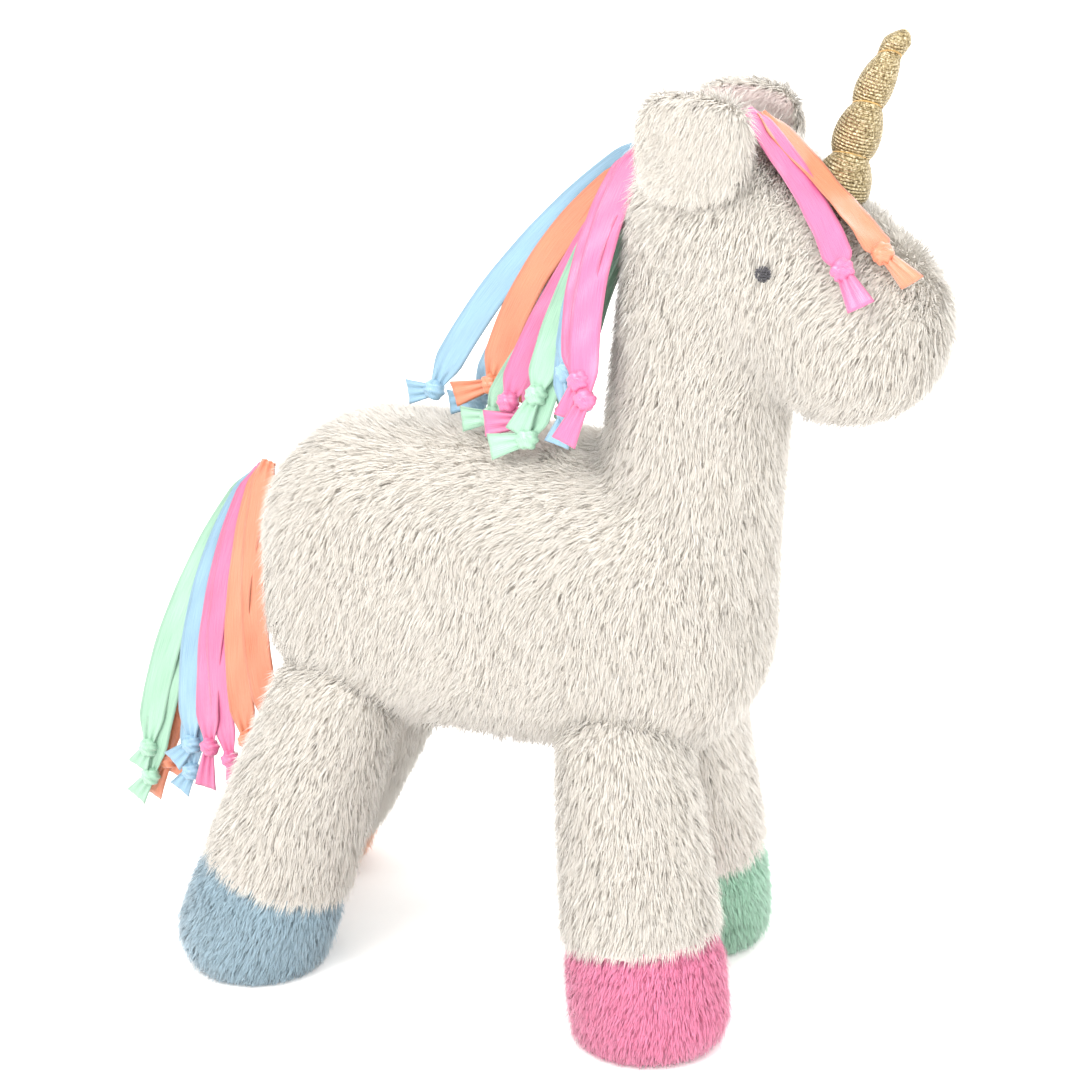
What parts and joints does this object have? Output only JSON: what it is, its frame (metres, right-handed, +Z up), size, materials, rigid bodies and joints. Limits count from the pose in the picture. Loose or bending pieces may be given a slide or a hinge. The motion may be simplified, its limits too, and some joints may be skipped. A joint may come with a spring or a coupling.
{
  "type": "plush unicorn",
  "caption": "Standing white plush unicorn with a pinched gold knit horn, coloured plush hooves and a knotted satin ribbon mane, forelock and tail.",
  "frame": {"origin": "on the floor under the middle of the toy's length, in its middle plane", "axes": "+X to the nose, +Y to the toy's left, +Z up"},
  "size_m": [0.3368, 0.1461, 0.3635],
  "materials": {
    "blue_plush": "long soft pile",
    "blue_satin": "satin",
    "charcoal_thread": "embroidery thread",
    "ear_pile": "short pile",
    "gold_rib_knit": "metallic rib knit",
    "gold_thread": "metallic thread",
    "mint_plush": "long soft pile",
    "mint_satin": "satin",
    "orange_plush": "long soft pile",
    "orange_satin": "satin",
    "pink_plush": "long soft pile",
    "pink_satin": "satin",
    "polyester_fill": "fibre fill",
    "white_plush": "long soft pile"
  },
  "bodies": {
    "torso": {"torso_stuffing": "polyester_fill", "belly_gusset": "white_plush", "torso_side_left": "white_plush", "torso_side_right": "white_plush"},
    "neck_head": {"head_gusset": "white_plush", "head_neck_side_left": "white_plush", "head_neck_side_right": "white_plush", "head_stuffing": "polyester_fill", "neck_stuffing": "polyester_fill", "eye_left": "charcoal_thread", "eye_right": "charcoal_thread"},
    "horn": {"horn_cover": "gold_rib_knit", "horn_stuffing": "polyester_fill", "horn_winding_thread": "gold_thread"},
    "forelock": {"forelock_ribbon_pink": "pink_satin", "forelock_ribbon_orange": "orange_satin"},
    "mane": {"mane_ribbon_blue_far": "blue_satin", "mane_ribbon_blue_side": "blue_satin", "mane_ribbon_mint_back": "mint_satin", "mane_ribbon_mint_side": "mint_satin", "mane_ribbon_orange": "orange_satin", "mane_ribbon_pink_back": "pink_satin", "mane_ribbon_pink_side": "pink_satin"},
    "tail": {"tail_ribbon_blue": "blue_satin", "tail_ribbon_mint": "mint_satin", "tail_ribbon_orange_far": "orange_satin", "tail_ribbon_orange_near": "orange_satin", "tail_ribbon_pink": "pink_satin"},
    "ear_left": {"ear_left_outer": "white_plush", "ear_left_lining": "ear_pile"},
    "ear_right": {"ear_right_outer": "white_plush", "ear_right_lining": "ear_pile"},
    "leg_front_right": {"leg_front_right_skin": "white_plush", "leg_front_right_hoof": "pink_plush", "leg_front_right_sole": "pink_plush", "leg_front_right_stuffing": "polyester_fill"},
    "leg_front_left": {"leg_front_left_skin": "white_plush", "leg_front_left_hoof": "mint_plush", "leg_front_left_sole": "mint_plush", "leg_front_left_stuffing": "polyester_fill"},
    "leg_hind_right": {"leg_hind_right_skin": "white_plush", "leg_hind_right_hoof": "blue_plush", "leg_hind_right_sole": "blue_plush", "leg_hind_right_stuffing": "polyester_fill"},
    "leg_hind_left": {"leg_hind_left_skin": "white_plush", "leg_hind_left_hoof": "orange_plush", "leg_hind_left_sole": "orange_plush", "leg_hind_left_stuffing": "polyester_fill"}
  },
  "joints": [
    {"name": "neck_nod", "type": "hinge", "parent": "torso", "child": "neck_head", "pos_m": [0.0734, 0, 0.174], "axis": [0, 1, 0], "range_deg": [0, 14], "stiffness_Nm_per_rad": 3},
    {"name": "horn_bend", "type": "hinge", "parent": "neck_head", "child": "horn", "pos_m": [0.1254, 0, 0.31], "axis": [0, 1, 0], "range_deg": [-10, 10], "stiffness_Nm_per_rad": 0.06},
    {"name": "forelock_lift", "type": "hinge", "parent": "neck_head", "child": "forelock", "pos_m": [0.1004, 0, 0.335], "axis": [0, -1, 0], "range_deg": [0, 45]},
    {"name": "mane_lift", "type": "hinge", "parent": "neck_head", "child": "mane", "pos_m": [0.0554, 0, 0.321], "axis": [0, 1, 0], "range_deg": [0, 45]},
    {"name": "tail_lift", "type": "hinge", "parent": "torso", "child": "tail", "pos_m": [-0.0916, 0, 0.189], "axis": [0, 1, 0], "range_deg": [0, 60]},
    {"name": "ear_left_flop", "type": "hinge", "parent": "neck_head", "child": "ear_left", "pos_m": [0.0834, 0.0275, 0.3229], "axis": [-1, 0, 0], "range_deg": [-20, 30], "stiffness_Nm_per_rad": 0.05},
    {"name": "ear_right_flop", "type": "hinge", "parent": "neck_head", "child": "ear_right", "pos_m": [0.0834, -0.0275, 0.3229], "axis": [1, 0, 0], "range_deg": [-20, 30], "stiffness_Nm_per_rad": 0.05},
    {"name": "leg_front_right_swing", "type": "hinge", "parent": "torso", "child": "leg_front_right", "pos_m": [0.0614, -0.03, 0.104], "axis": [0, 1, 0], "range_deg": [-15, 15], "stiffness_Nm_per_rad": 2},
    {"name": "leg_front_left_swing", "type": "hinge", "parent": "torso", "child": "leg_front_left", "pos_m": [0.0614, 0.03, 0.104], "axis": [0, 1, 0], "range_deg": [-15, 15], "stiffness_Nm_per_rad": 2},
    {"name": "leg_hind_right_swing", "type": "hinge", "parent": "torso", "child": "leg_hind_right", "pos_m": [-0.0536, -0.03, 0.104], "axis": [0, 1, 0], "range_deg": [-15, 15], "stiffness_Nm_per_rad": 2},
    {"name": "leg_hind_left_swing", "type": "hinge", "parent": "torso", "child": "leg_hind_left", "pos_m": [-0.0536, 0.03, 0.104], "axis": [0, 1, 0], "range_deg": [-15, 15], "stiffness_Nm_per_rad": 2}
  ]
}
